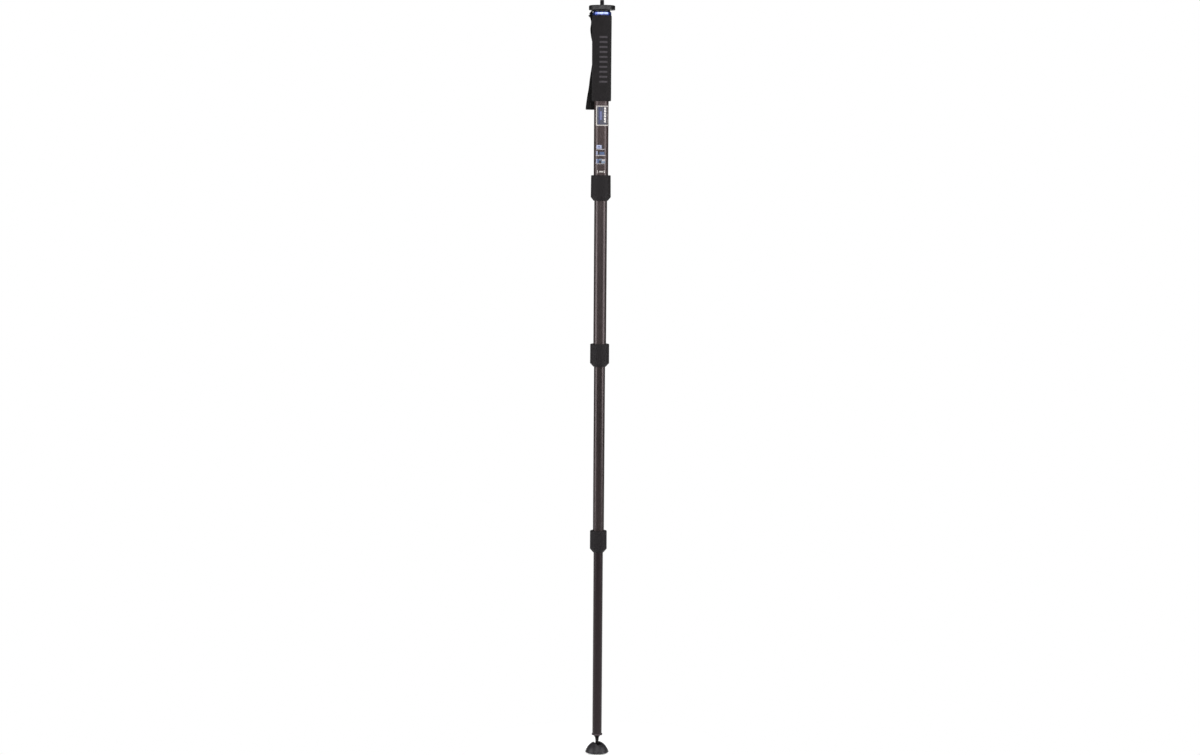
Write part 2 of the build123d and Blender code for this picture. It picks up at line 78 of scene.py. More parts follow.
class Nodes:
    """A node tree, emptied first, and short ways to add nodes to it."""

    def __init__(self, tree):
        self.tree = tree
        self.tree.nodes.clear()

    def put(self, value, socket):
        """Links an output to a socket, or sets the socket's own value. None leaves it as it is."""
        if isinstance(value, bpy.types.NodeSocket):
            self.tree.links.new(value, socket)
        elif value is not None:
            socket.default_value = value

    def add(self, kind, *values, **settings):
        """A node, with values for its first sockets in their order."""
        node = self.tree.nodes.new("ShaderNode" + kind)
        for name, value in settings.items():
            setattr(node, name, value)
        for index, value in enumerate(values):
            self.put(value, node.inputs[index])
        return node

    def math(self, operation, *values):
        return self.add("Math", *values, operation=operation).outputs[0]

    def length(self, x, y):
        """Distance of (x, y) from (0, 0)."""
        squares = [self.math("MULTIPLY", side, side) for side in (x, y)]
        return self.math("SQRT", self.math("ADD", *squares))

    def between(self, value, low, high, to_low=0.0, to_high=1.0):
        """The value, moved from the range low to high to another range, and held inside it."""
        return self.add("MapRange", value, low, high, to_low, to_high).outputs[0]

    def place(self):
        """Object coordinates, whose origin is under the middle of the foot."""
        return self.add("TexCoord").outputs["Object"]

    def split(self):
        return self.add("SeparateXYZ", self.place()).outputs


class Finish(Nodes):
    """A node material, and the patterns that the finishes share."""

    def __init__(self, name, **settings):
        self.material = bpy.data.materials.new(name)
        self.material.use_nodes = True
        super().__init__(self.material.node_tree)
        self.shader = self.add("BsdfPrincipled")
        self.add("OutputMaterial", self.shader.outputs[0])
        for socket, value in settings.items():
            self.shader.inputs[socket.replace("_", " ")].default_value = value

    def around(self):
        """Angle round the mast in turns, distance from its axis, and height."""
        x, y, z = self.split()
        turn = self.math("DIVIDE", self.math("ARCTAN2", y, x), FULL_TURN)
        return turn, self.length(x, y), z

    def noise(self, scale, detail=3.0, stretch=None):
        place = self.place()
        if stretch:
            place = self.add("Mapping", place, None, None, stretch).outputs[0]
        node = self.add("TexNoise", place)
        node.inputs["Scale"].default_value = scale
        node.inputs["Detail"].default_value = detail
        node.inputs["Roughness"].default_value = noise_roughness
        return node.outputs["Fac"]

    def uneven(self, scale, detail=3.0, low=0.0, high=1.0, stretch=None):
        """A noise that runs from low to high."""
        return self.between(self.noise(scale, detail, stretch), *noise_spread, low, high)

    def cells(self, scale):
        node = self.add("TexVoronoi", self.place())
        node.inputs["Scale"].default_value = scale
        return node.outputs["Distance"]

    def choose(self, share, first, second):
        """The first number where the share is 0, the second where it is 1."""
        node = self.add("Mix", share, data_type="FLOAT")
        self.put(first, node.inputs[2])
        self.put(second, node.inputs[3])
        return node.outputs[0]

    def blend(self, share, first, second):
        """The first colour where the share is 0, the second where it is 1."""
        node = self.add("Mix", share, data_type="RGBA")
        colours = [s for s in node.inputs if s.type == "RGBA"]
        self.put(first, colours[0])
        self.put(second, colours[1])
        return [s for s in node.outputs if s.type == "RGBA"][0]

    def colour(self, value):
        self.put(value, self.shader.inputs["Base Color"])

    def rough(self, value):
        self.put(value, self.shader.inputs["Roughness"])

    def bump(self, height, distance, strength, under=None):
        """Bumps on the shader, over the ones under them if there are any."""
        node = self.add("Bump")
        node.inputs["Strength"].default_value = strength
        node.inputs["Distance"].default_value = distance
        self.put(height, node.inputs["Height"])
        self.put(under, node.inputs["Normal"])
        self.put(node.outputs[0], self.shader.inputs["Normal"])
        return node.outputs[0]


def carbon(name, tows, light, dark, specular):
    """Woven carbon under a clear coat: a 2 x 2 twill. The tows round the tube are a whole number
    of fours, so that the weave closes. The middles of the tows and the upright tows are painted
    lighter: painted shading and painted reflection of the weave."""
    f = Finish(name, Coat_Weight=0.1, Coat_Roughness=0.2, Specular_IOR_Level=specular,
               Specular_Tint=(1.0, 0.82, 0.85, 1.0))
    turn, _, height = f.around()
    across = f.math("MULTIPLY", turn, float(tows))
    along = f.math("DIVIDE", height, tow_length)
    column, row = f.math("FLOOR", across), f.math("FLOOR", along)
    in_column = f.math("SUBTRACT", across, column)
    in_row = f.math("SUBTRACT", along, row)
    step = f.math("FLOORED_MODULO", f.math("ADD", column, row), 2 * tows_over)
    upright = f.math("LESS_THAN", step, tows_over - 0.5)

    def crown(inside):
        """Rounded across one tow, 1 on its middle line and 0 at its edges."""
        centred = f.math("SUBTRACT", f.math("MULTIPLY", inside, 2.0), 1.0)
        return f.math("SUBTRACT", 1.0, f.math("MULTIPLY", centred, centred))

    def rise(start, inside):
        """Rises and dips once over the cells that a tow passes over."""
        share = f.math("MULTIPLY", f.math("ADD", start, inside), 1 / tows_over)
        return f.math("MAXIMUM", f.math("SINE", f.math("MULTIPLY", share, math.pi)), 0.0)

    tall = f.math("MULTIPLY", crown(in_column), rise(step, in_row))
    level_step = f.math("SUBTRACT", step, tows_over)
    flat = f.math("MULTIPLY", crown(in_row), rise(level_step, in_column))
    crest = f.choose(upright, flat, tall)
    threads_up = f.noise(9000.0, 2.0, stretch=(1.0, 1.0, 0.04))
    threads_round = f.noise(9000.0, 2.0, stretch=(0.08, 0.08, 1.0))
    threads = f.choose(upright, threads_round, threads_up)
    streaks = f.uneven(260.0, 3.0, -0.22, 0.22, stretch=(1.0, 1.0, 0.02))
    # Painted light: each tow's middle is lighter than its edges (painted shading of the round
    # tows), and upright tows are 0.14 lighter (painted reflection). The threads and streaks are
    # random tone.
    shade = f.math("ADD", f.math("MULTIPLY", crest, 0.5), f.math("MULTIPLY", threads, 0.5))
    shade = f.math("ADD", shade, f.math("MULTIPLY", upright, 0.14))
    shade = f.math("ADD", shade, streaks)
    f.colour(f.blend(f.between(shade, 0.1, 0.9), dark, light))
    f.rough(f.uneven(90.0, 3.0, 0.29, 0.36))
    f.bump(f.math("ADD", crest, f.math("MULTIPLY", threads, 0.3)), 0.06 * MM, 0.5)
    return f.material


def lathe_marks(f, radius, height):
    """Fine turned lines on a finish, and a slight grain over them."""
    way = f.math("ADD", radius, height)
    marks = f.math("SINE", f.math("MULTIPLY", way, FULL_TURN / lathe_pitch))
    under = f.bump(marks, 0.004 * MM, 0.35)
    f.bump(f.noise(700.0), 0.01 * MM, 0.25, under)


def anodised(name, colour, worn, roughness, metallic, edge_radius, edge_height, specular=0.5):
    """Anodised turned metal: lathe marks, and a paler line where the edge has rubbed."""
    f = Finish(name, Metallic=metallic, Specular_IOR_Level=specular)
    _, radius, height = f.around()
    near_edge = f.math("MULTIPLY",
                       f.between(radius, edge_radius - 0.9 * MM, edge_radius - 0.2 * MM),
                       f.between(height, edge_height - 1.4 * MM, edge_height - 0.3 * MM))
    rubbed = f.math("MULTIPLY", near_edge, f.between(f.noise(420.0, 4.0), 0.42, 0.66))
    f.colour(f.blend(f.math("MULTIPLY", rubbed, 0.5), colour, worn))
    f.rough(f.uneven(55.0, 4.0, roughness - 0.04, roughness + 0.06))
    lathe_marks(f, radius, height)
    return f.material


def bright_ring(name, colour, shade_colour, low, high):
    """Coloured anodised ring, polished and coated round its middle and satin at its two bevels,
    where a darker blue is painted shade.
    """
    f = Finish(name, Metallic=0.85, Specular_Tint=(0.4, 0.6, 1.0, 1.0), Coat_IOR=2.2,
               Coat_Roughness=0.12)
    _, radius, height = f.around()
    polished_unshaded = f.math("MULTIPLY", f.between(height, low + 1.6 * MM, low + 3.4 * MM),
                      f.between(height, high - 1.3 * MM, high - 2.5 * MM))
    # Painted shade: the ring's two bevels take the darker blue. The coat and roughness change with
    # them as a real finish.
    f.colour(f.blend(polished_unshaded, shade_colour, colour))
    f.put(f.between(polished_unshaded, 0.0, 1.0, 0.12, 1.0), f.shader.inputs["Coat Weight"])
    satin = f.between(polished_unshaded, 0.0, 1.0, 0.45, 0.2)
    f.rough(f.math("ADD", satin, f.uneven(55.0, 4.0, -0.03, 0.05)))
    lathe_marks(f, radius, height)
    return f.material


def rubber(name, colour, dusty, roughness, grain, depth, specular=0.35):
    """Moulded rubber: fine mould grain under a thin, uneven film of dust."""
    f = Finish(name, Specular_IOR_Level=specular)
    dust = f.between(f.noise(60.0, 4.0), 0.35, 0.75)
    f.colour(f.blend(f.math("MULTIPLY", dust, dust_share), colour, dusty))
    f.rough(f.between(dust, 0.0, 1.0, roughness - 0.05, roughness + 0.08))
    under = f.bump(f.cells(grain), depth, 0.4)
    f.bump(f.noise(grain * 0.4), depth * 2, 0.3, under)
    return f.material


def foam(name, colour, mark):
    """Closed-cell foam: small open pores darkened with painted shade, matt, with raised bars a
    shade paler.
    """
    f = Finish(name, Roughness=0.92, Specular_IOR_Level=0.08, Sheen_Weight=0.03,
               Sheen_Roughness=0.5)
    raised = f.add("Attribute", attribute_name="mark").outputs["Fac"]
    open_cell = f.between(f.cells(1150.0), 0.0, 0.32)
    shaded = (*[c * 0.86 for c in colour[:3]], 1.0)
    # The pores are painted nearly black: painted shade in the open cells.
    pore_shade_colour = (0.006, 0.006, 0.006, 1.0)
    tone = f.blend(f.uneven(35.0, 4.0), shaded, colour)
    pore_shade = f.math("MULTIPLY", f.math("SUBTRACT", 1.0, open_cell), 0.7)
    f.colour(f.blend(raised, f.blend(pore_shade, tone, pore_shade_colour), mark))
    under = f.bump(open_cell, 0.22 * MM, 0.7)
    f.bump(f.cells(2900.0), 0.08 * MM, 0.4, under)
    return f.material


def webbing(name, colour, shade_colour):
    """Woven nylon webbing: ribs of floats that slant in turn to each side, darker between the ribs
    and floats as painted shade, with a random tone of fibres. The strap's own UV map runs from 0 to
    1 across the webbing, and in millimetres along it."""
    f = Finish(name, Roughness=0.78, Specular_IOR_Level=0.3, Sheen_Weight=0.06,
               Sheen_Roughness=0.4)
    across, along, _ = f.add("SeparateXYZ", f.add("UVMap", uv_map="weave").outputs[0]).outputs
    ribs = f.math("MULTIPLY", across, rib_count)
    rib = f.math("FLOOR", ribs)
    inside = f.math("SUBTRACT", ribs, rib)
    odd = f.math("FLOORED_MODULO", rib, 2.0)
    lean = f.math("SUBTRACT", f.math("MULTIPLY", odd, 2.0), 1.0)
    slant = f.math("MULTIPLY", f.math("MULTIPLY", inside, lean), rib_slant)
    way = f.math("MULTIPLY", f.math("ADD", along, slant), FULL_TURN / rib_float)
    floats = f.math("ADD", f.math("MULTIPLY", f.math("SINE", way), 0.35), 0.65)
    crest = f.math("MULTIPLY", f.math("SINE", f.math("MULTIPLY", inside, math.pi)), floats)
    fibres = f.noise(4000.0, 2.0)
    # Painted shade: the webbing gets darker away from each rib's crest. The fibre noise is random
    # tone.
    tone = f.math("ADD", f.math("MULTIPLY", crest, 0.8), f.math("MULTIPLY", fibres, 0.4))
    f.colour(f.blend(f.between(tone, 0.15, 1.0), shade_colour, colour))
    under = f.bump(crest, 0.22 * MM, 0.8)
    f.bump(fibres, 0.05 * MM, 0.3, under)
    return f.material


def plain(name, colour, second, roughness, metallic=0.0, specular=0.5, grain=900.0):
    """Moulded or turned smaller pieces: a slight change of tone and a fine surface."""
    f = Finish(name, Metallic=metallic, Specular_IOR_Level=specular)
    f.colour(f.blend(f.uneven(80.0, 4.0), colour, second))
    f.rough(f.uneven(40.0, 3.0, roughness - 0.05, roughness + 0.05))
    f.bump(f.noise(grain), 0.02 * MM, 0.3)
    return f.material


def ink(name, colour, faded):
    """Screen-printed ink, slightly uneven."""
    f = Finish(name, Specular_IOR_Level=0.4)
    f.colour(f.blend(f.between(f.noise(1600.0), 0.35, 0.8, 0.0, 0.6), colour, faded))
    f.rough(f.uneven(300.0, 3.0, 0.42, 0.55))
    f.bump(f.noise(5000.0, 2.0), 0.01 * MM, 0.3)
    return f.material


black_anodised = anodised("black_anodised", srgb("19181a"), srgb("6e6c6b"), 0.33, 0.5,
                          plate_high.x, plate_high.z, 0.8)
# The collar's black is darker than the platform's: painted shade under the platform, over the real
# black anodising.
collar_shaded_black = anodised("collar_shaded_black", srgb("121113"), srgb("2c2b2b"), 0.4, 0.35,
                        collar_edge, ring_high.z)
# The second blue, for the ring's bevels, is painted shade.
blue_anodised = bright_ring("blue_anodised", srgb("224cb8"), srgb("1b3076"),
                            ring_low.z, ring_high.z)
grip_foam = foam("grip_foam", srgb("282627"), srgb("4a464a"))
strap_web = webbing("strap_web", srgb("292727"), srgb("0c0c0c"))
sleeve_rubber = rubber("sleeve_rubber", srgb("1c191b"), srgb("292628"), 0.62, 2200.0,
                       0.05 * MM, 0.2)
foot_rubber = rubber("foot_rubber", srgb("252326"), srgb("37353a"), 0.42, 1500.0,
                     0.06 * MM, 0.3)
sole_rubber = rubber("sole_rubber", srgb("1d1c1c"), srgb("3a3836"), 0.8, 1800.0, 0.05 * MM)
pad_rubber = rubber("pad_rubber", srgb("1c1c1d"), srgb("333234"), 0.75, 1600.0, 0.06 * MM)
screw_metal = plain("screw_metal", srgb("242225"), srgb("38363a"), 0.36, 0.7)
stem_metal = plain("stem_metal", srgb("141012"), srgb("1d191b"), 0.4, 0.3, 0.25)
plug_plastic = plain("plug_plastic", srgb("3e3538"), srgb("463b3f"), 0.45, 0.0, 0.3)
acetal = plain("acetal", srgb("17171a"), srgb("202024"), 0.42)
white_nylon = plain("white_nylon", srgb("d9d5ca"), srgb("c9c4b6"), 0.5)
core_nylon = plain("core_nylon", srgb("1a1a1b"), srgb("262627"), 0.5)
collar_metal = plain("collar_metal", srgb("3c3c3f"), srgb("4a4a4e"), 0.35, 0.9)
thread = plain("strap_thread", srgb("2c2b2b"), srgb("3a3939"), 0.7, 0.0, 0.3, 5000.0)
inks = {name: ink(f"{name}_ink", srgb(fresh), srgb(faded)) for name, fresh, faded in (
    ("white", "e6e2de", "cfc9c6"), ("cream", "cbc6c2", "b5b0ad"), ("slate", "4c4e5c", "54535e"),
    ("navy", "3c446a", "454c6a"), ("pale", "7076a0", "696e92"), ("sky", "b2bad9", "a0a8c6"),
    ("mist", "959bb6", "888da5"), ("dark", "2c2e38", "34353d"), ("blue", "4b5d83", "556683"),
    ("steel", "77889f", "7c899c"), ("silver", "b0adb2", "a09c9f"),
)}

node_finish = {
    # Each lower tube's carbon is painted darker: painted shade, as the light falls off towards the
    # floor.
    "tube_1": carbon("carbon_1", 52, srgb("3b302e"), srgb("1d1615"), 0.52),
    "tube_2": carbon("carbon_2", 44, srgb("332c2b"), srgb("181413"), 0.6),
    "tube_3": carbon("carbon_3", 40, srgb("261f1e"), srgb("100d0c"), 0.6),
    "tube_4": carbon("carbon_4", 32, srgb("1c1216"), srgb("060405"), 0.36),
    "platform": black_anodised, "top_plug": black_anodised, "accent_ring": blue_anodised,
    "platform_pad": pad_rubber, "platform_grub_screw": screw_metal,
    "strap_collar": collar_shaded_black, "foot_plug": plug_plastic, "ball_stem": stem_metal,
    "stem_clip": stem_metal, "thrust_washer": white_nylon, "socket_liner": acetal,
    "foot_dome": foot_rubber, "foot_core": core_nylon, "core_plug": core_nylon,
    "sole_pad": sole_rubber,
}
for number in (1, 2, 3):
    node_finish[f"lock_sleeve_{number}"] = sleeve_rubber
    node_finish[f"lock_wiper_{number}"] = pad_rubber
    node_finish[f"lock_nut_{number}"] = acetal
    node_finish[f"lock_collar_{number}"] = collar_metal
    node_finish[f"lock_collet_{number}"] = acetal
    node_finish[f"guide_shims_{number + 1}"] = white_nylon
for name, finish in node_finish.items():
    for material_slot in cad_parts[name].material_slots:
        material_slot.material = finish


# Meshes

def add_object(name, data):
    item = bpy.data.objects.new(name, data)
    bpy.context.scene.collection.objects.link(item)
    return item


def make_piece(name, points, faces, body, finish, crease):
    """A closed mesh that rides on a body, smooth but for edges sharper than the crease angle."""
    mesh = bpy.data.meshes.new(name)
    mesh.from_pydata([tuple(p) for p in points], [], faces)
    bm = bmesh.new()
    bm.from_mesh(mesh)
    bmesh.ops.recalc_face_normals(bm, faces=bm.faces)
    bm.to_mesh(mesh)
    bm.free()
    mesh.shade_smooth()
    mesh.set_sharp_from_angle(angle=math.radians(crease))
    mesh.materials.append(finish)
    piece = add_object(name, mesh)
    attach(piece, body)
    return piece


def loop_faces(rows, columns, closed_rows=False):
    """Quads of a grid whose columns close round. Its last row joins its first when asked."""
    faces = []
    for row in range(rows if closed_rows else rows - 1):
        for column in range(columns):
            here, above = row * columns, ((row + 1) % rows) * columns
            beside = (column + 1) % columns
            faces.append((here + column, here + beside, above + beside, above + column))
    return faces


def round_front(radius, angle, height):
    """A point at an angle round the mast, which is 0 at its front and grows towards +X."""
    return (radius * math.sin(angle), -radius * math.cos(angle), height)


def smooth_step(value, low, high):
    share = min(1.0, max(0.0, (value - low) / (high - low)))
    return share * share * (3 - 2 * share)


def mix(first, second, share):
    return first * (1 - share) + second * share


# Foam grip, with a column of raised bars on its front

bar_count = 10
bar_pitch = 10.9 * MM
bar_half_width, bar_half_height = 9.6 * MM, 2.1 * MM
bar_middle = 0.19                          # radians round from the front
bar_top = 1614.5 * MM                      # middle of the highest bar
bar_rise = 0.35 * MM
slope_in, slope_out = 0.45 * MM, 0.35 * MM  # a bar's slope, to each side of its outline
grip_round = 2.2 * MM                      # of the grip's two outer edges
grip_bore = tube_radius + 0.06 * MM
bore_land = 0.6 * MM                       # flat ring round the bore at each end
foot_radius, radius_gain = 21.5, 0.2       # mm at the grip's foot, and more at its top
unevenness = 0.05 * MM
fine_rows, coarse_rows = 0.7 * MM, 3.4 * MM
fine_columns, coarse_columns = math.radians(1.5), math.radians(5.0)
margin_up, margin_side = 4 * MM, 3 * MM    # of the fine grid, past the bars


def grip_radius(height):
    share = (height - grip_low.z) / (grip_high.z - grip_low.z)
    return (foot_radius + radius_gain * share) * MM


def grip_mark(angle, height):
    """How far a point of the grip is inside a raised bar, from 0 to 1."""
    across = (angle - bar_middle) * grip_radius(height)
    nearest = min(max(round((bar_top - height) / bar_pitch), 0), bar_count - 1)
    off = height - (bar_top - nearest * bar_pitch)
    reach = max(abs(across) - (bar_half_width - bar_half_height), 0.0)
    return 1.0 - smooth_step(math.hypot(reach, off), bar_half_height - slope_in,
                             bar_half_height + slope_out)


def grip_heights():
    """Heights of the rows between the grip's two round edges."""
    bars_bottom = bar_top - (bar_count - 1) * bar_pitch - margin_up
    heights = []
    height = grip_low.z + grip_round
    while height < grip_high.z - grip_round - 0.2 * MM:
        heights.append(height)
        height += fine_rows if bars_bottom < height < bar_top + margin_up else coarse_rows
    return heights + [grip_high.z - grip_round]


def grip_angles():
    """Angles of the columns round the grip."""
    angles = []
    angle = -math.pi
    while angle < math.pi - 0.01:
        angles.append(angle)
        off = abs(angle - bar_middle) * (foot_radius + radius_gain / 2) * MM
        angle += fine_columns if off < bar_half_width + margin_side else coarse_columns
    return angles


def make_grip():
    angles = grip_angles()
    rounds = [math.radians(a) for a in (0, 18, 36, 54, 72, 90)]
    low_radius, high_radius = grip_radius(grip_low.z), grip_radius(grip_high.z)
    low_middle, high_middle = grip_low.z + grip_round, grip_high.z - grip_round
    # The rows between the two round edges take their radius from grip_radius
    outline = [(grip_bore, grip_low.z), (grip_bore + bore_land, grip_low.z)]
    outline += [(low_radius - grip_round + grip_round * math.sin(a),
                 low_middle - grip_round * math.cos(a)) for a in rounds[:-1]]
    outline += [(None, h) for h in grip_heights()]
    outline += [(high_radius - grip_round + grip_round * math.cos(a),
                 high_middle + grip_round * math.sin(a)) for a in rounds[1:]]
    outline += [(grip_bore + bore_land, grip_high.z), (grip_bore, grip_high.z)]
    points, marks = [], []
    for radius, height in outline:
        for angle in angles:
            mark = 0.0
            here = radius
            if radius is None:
                mark = grip_mark(angle, height)
                soft = (unevenness * math.sin(3 * angle + height / (17 * MM))
                        * math.sin(height / (31 * MM)))
                here = grip_radius(height) + bar_rise * mark + soft
            points.append(round_front(here, angle, height))
            marks.append(mark)
    piece = make_piece("grip_sleeve", points, loop_faces(len(outline), len(angles), True),
                       "upper_section", grip_foam, 60.0)
    attribute = piece.data.attributes.new("mark", "FLOAT", "POINT")
    attribute.data.foreach_set("value", marks)
    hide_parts("foam_grip")


make_grip()


# Wrist strap: flat webbing that goes round the collar's bar and is sewn at the foot of its loop.
# It is laid out with its bar along Y and outwards along +X, and then turned round the mast.

strap_turn = Matrix.Rotation(math.radians(118.0), 3, "Z")
bar_out, bar_height = 27.0 * MM, plate_low.z - 7.0 * MM
strap_hang = 211.4 * MM
wrap_radius, fold_radius = 2.6 * MM, 1.0 * MM
fold_out, fold_side = strap_width * 1.080, strap_width * 0.490
route_steps = 16                           # points from one knot of the route to the next
webbing_edge, webbing_round = 0.7 * MM, 0.22 * MM
stitch_pitch, stitch_length, stitch_radius = 2.6 * MM, 2.0 * MM, 0.28 * MM
stitch_rings, stitch_corners = 6, 6
seam_reach = 10.6 * MM                     # from the webbing's middle line
seam_downs = (0.935, 0.953)                # shares of the hang

# Knots of the two strands, as the share of the hang, and the place outwards and sideways in
# widths of the strap
inner_strand = (
    (0.085, 0.972, 0.000), (0.155, 0.976, 0.148), (0.230, 0.980, 0.080), (0.305, 0.984, -0.060),
    (0.420, 0.988, -0.120), (0.520, 0.992, -0.060), (0.595, 0.992, 0.044), (0.675, 0.996, 0.156),
    (0.760, 1.000, 0.244), (0.845, 1.008, 0.372), (0.930, 1.024, 0.484), (0.968, 1.036, 0.514),
)
outer_strand = (
    (0.010, 1.226, 0.090), (0.020, 1.250, 0.206), (0.040, 1.228, 0.050), (0.085, 1.208, -0.044),
    (0.155, 1.290, -0.019), (0.230, 1.380, -0.132), (0.305, 1.460, -0.313), (0.420, 1.560, -0.424),
    (0.520, 1.580, -0.372), (0.595, 1.560, -0.258), (0.675, 1.500, -0.112), (0.760, 1.410, 0.026),
    (0.845, 1.310, 0.212), (0.930, 1.190, 0.396), (0.968, 1.122, 0.476),
)


def hung(down, out, side):
    return Vector((strap_width * out, strap_width * side, bar_height - strap_hang * down))


def curve_point(near, times, share):
    """A point between the middle two of four knots, on the smooth curve through all four."""
    time = times[1] + (times[2] - times[1]) * share

    def between(i, j, first, second):
        return mix(first, second, (time - times[i]) / (times[j] - times[i]))

    lines = [between(i, i + 1, near[i], near[i + 1]) for i in range(3)]
    curves = [between(i, i + 2, lines[i], lines[i + 1]) for i in range(2)]
    return mix(*curves, share)


def strap_route():
    """Centres of the closed loop of webbing: up the inner strand, round the bar, down the outer
    strand and round the fold."""
    wrap = [Vector((bar_out + wrap_radius * math.cos(a), 0, bar_height + wrap_radius * math.sin(a)))
            for a in [math.radians(180 - 22.5 * step) for step in range(9)]]
    fold_height = bar_height - strap_hang + fold_radius
    fold = [Vector((fold_out + fold_radius * math.cos(a), fold_side,
                    fold_height + fold_radius * math.sin(a)))
            for a in [math.radians(-30 * step) for step in range(7)]]
    up, down = [[hung(*knot) for knot in strand] for strand in (inner_strand[::-1], outer_strand)]
    knots = up + wrap + down + fold
    route = []
    for index in range(len(knots)):
        near = [knots[(index + shift) % len(knots)] for shift in (-1, 0, 1, 2)]
        times = [0.0]
        for start, end in zip(near, near[1:]):
            times.append(times[-1] + math.sqrt((end - start).length))
        route += [curve_point(near, times, step / route_steps) for step in range(route_steps)]
    return route


def section_of_webbing():
    """Outline across the webbing: (sideways, through its thickness), round at both edges."""
    half, thick = strap_width / 2, strap_thick / 2
    face = [-1 + 2 * step / 10 for step in range(11)]
    top = [(x * (half - webbing_edge), thick * (1 - 0.10 * abs(x) ** 4)) for x in face]
    edge = [(half - webbing_round, thick * 0.66), (half, 0.0),
            (half - webbing_round, -thick * 0.66)]
    bottom = [(x, -y) for x, y in reversed(top)]
    return top + edge + bottom + [(-x, -y) for x, y in edge]


def make_strap():
    """The strap, and the length of webbing in its loop."""
    route = strap_route()
    count = len(route)
    outline = section_of_webbing()
    columns = len(outline)
    points, travelled = [], [0.0]
    for index, centre in enumerate(route):
        before, after = route[index - 1], route[(index + 1) % count]
        way = Vector((after.x - before.x, 0, after.z - before.z)).normalized()
        through = Vector((-way.z, 0, way.x))
        travelled.append(travelled[-1] + (after - centre).length)
        for side, depth in outline:
            points.append(strap_turn @ (centre + Vector((0, side, 0)) + through * depth))
    piece = make_piece("strap_loop_webbing", points, loop_faces(count, columns, True),
                       "strap_loop", strap_web, 50.0)
    uv = piece.data.uv_layers.new(name="weave")
    for polygon in piece.data.polygons:
        corners = [divmod(piece.data.loops[i].vertex_index, columns) for i in polygon.loop_indices]
        rows = [row for row, _ in corners]
        closing = 0 in rows and count - 1 in rows
        for i, (row, column) in zip(polygon.loop_indices, corners):
            along = travelled[count] if closing and row == 0 else travelled[row]
            uv.data[i].uv = (outline[column][0] / strap_width + 0.5, along / MM)
    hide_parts("strap_webbing")
    return piece, travelled[count]


def stitch(centre, way, out):
    """One raised thread of a seam: a short rounded bow, as points and faces."""
    across = way.cross(out).normalized()
    points = []
    for step in range(stitch_rings):
        share = -1 + 2 * step / (stitch_rings - 1)
        bow = out * (stitch_radius * 0.9 * (1 - share * share) - stitch_radius * 0.35)
        size = stitch_radius * math.sqrt(max(1 - 0.86 * share ** 4, 0.02))
        for corner in range(stitch_corners):
            angle = corner * FULL_TURN / stitch_corners
            points.append(centre + way * (share * stitch_length / 2) + bow
                          + (across * math.cos(angle) + out * math.sin(angle)) * size)
    faces = loop_faces(stitch_rings, stitch_corners)
    faces += [tuple(range(stitch_corners - 1, -1, -1)),
              tuple(range(len(points) - stitch_corners, len(points)))]
    return points, faces


def strand_point(strand, down):
    """Where a strand is at a share of the hang, outwards and sideways in widths of the strap."""
    low, high = next((a, b) for a, b in zip(strand, strand[1:]) if a[0] <= down <= b[0])
    share = (down - low[0]) / (high[0] - low[0])
    return [low[i] + (high[i] - low[i]) * share for i in (1, 2)]


def seam_rows():
    """Two rows across each face just above the fold, as two ends and the way the face looks."""
    rows = []
    ahead = 0.01
    for strand, sign in ((inner_strand, -1), (outer_strand, 1)):
        for down in seam_downs:
            out, side = strand_point(strand, down)
            next_out, _ = strand_point(strand, down + ahead)
            slope = Vector((strap_width * (next_out - out), 0, -strap_hang * ahead)).normalized()
            facing = Vector((-slope.z, 0, slope.x)) * sign
            ends = [strap_turn @ (hung(down, out, side) + Vector((0, reach, 0))
                                  + facing * strap_thick / 2)
                    for reach in (-seam_reach, seam_reach)]
            rows.append((*ends, strap_turn @ facing))
    return rows


def make_stitching():
    points, faces = [], []
    for first, second, facing in seam_rows():
        run = second - first
        count = max(1, round(run.length / stitch_pitch))
        way = run.normalized()
        for step in range(count):
            bow, bow_faces = stitch(first + run * ((step + 0.5) / count), way, facing)
            faces += [tuple(len(points) + i for i in face) for face in bow_faces]
            points += bow
    return make_piece("strap_stitching", points, faces, "strap_loop", thread, 80.0)


strap, strap_length = make_strap()
stitching = make_stitching()


# Camera screw, with its 3/8 inch thread cut as a helix and a slot in its tip

thread_pitch = 25.4 / 16 * MM
thread_root, thread_crest = 3.95 * MM, 4.74 * MM
thread_start = (0.3 * MM, 1.1 * MM)        # over the flange, where the thread grows to its height
flat_share, flank_share = 0.14, 0.70       # of half a turn: the root's flat, and the flank
tip_bevel = 0.95 * MM
screw_columns, rows_per_turn = 48, 12
screw_crease = 35.0
slot_size = (12 * MM, 1.4 * MM, 3.2 * MM)  # of the cutter, whose middle is at the tip


def screw_outline():
    """Radius and height from the screw's foot to its flange's top."""
    flange_low, flange_high = plate_high.z - 2.0 * MM, plate_high.z
    return [
        (2.4 * MM, stud_low.z), (3.1 * MM, stud_low.z + 0.7 * MM), (3.1 * MM, flange_low),
        (7.3 * MM, flange_low), (7.5 * MM, flange_low + 0.2 * MM),
        (7.5 * MM, flange_high - 0.25 * MM), (7.25 * MM, flange_high), (thread_root, flange_high),
    ]


def thread_radius(turn, up):
    """Radius of the thread at a share of a turn and at a height over the flange."""
    phase = (up / thread_pitch - turn) % 1.0
    shape = min(1.0, max(0.0, (abs(2 * phase - 1) - flat_share) / flank_share))
    height = (thread_crest - thread_root) * shape * smooth_step(up, *thread_start)
    to_tip = stud_high.z - plate_high.z - up
    return min(thread_root + height, thread_crest - max(0.0, tip_bevel - to_tip))


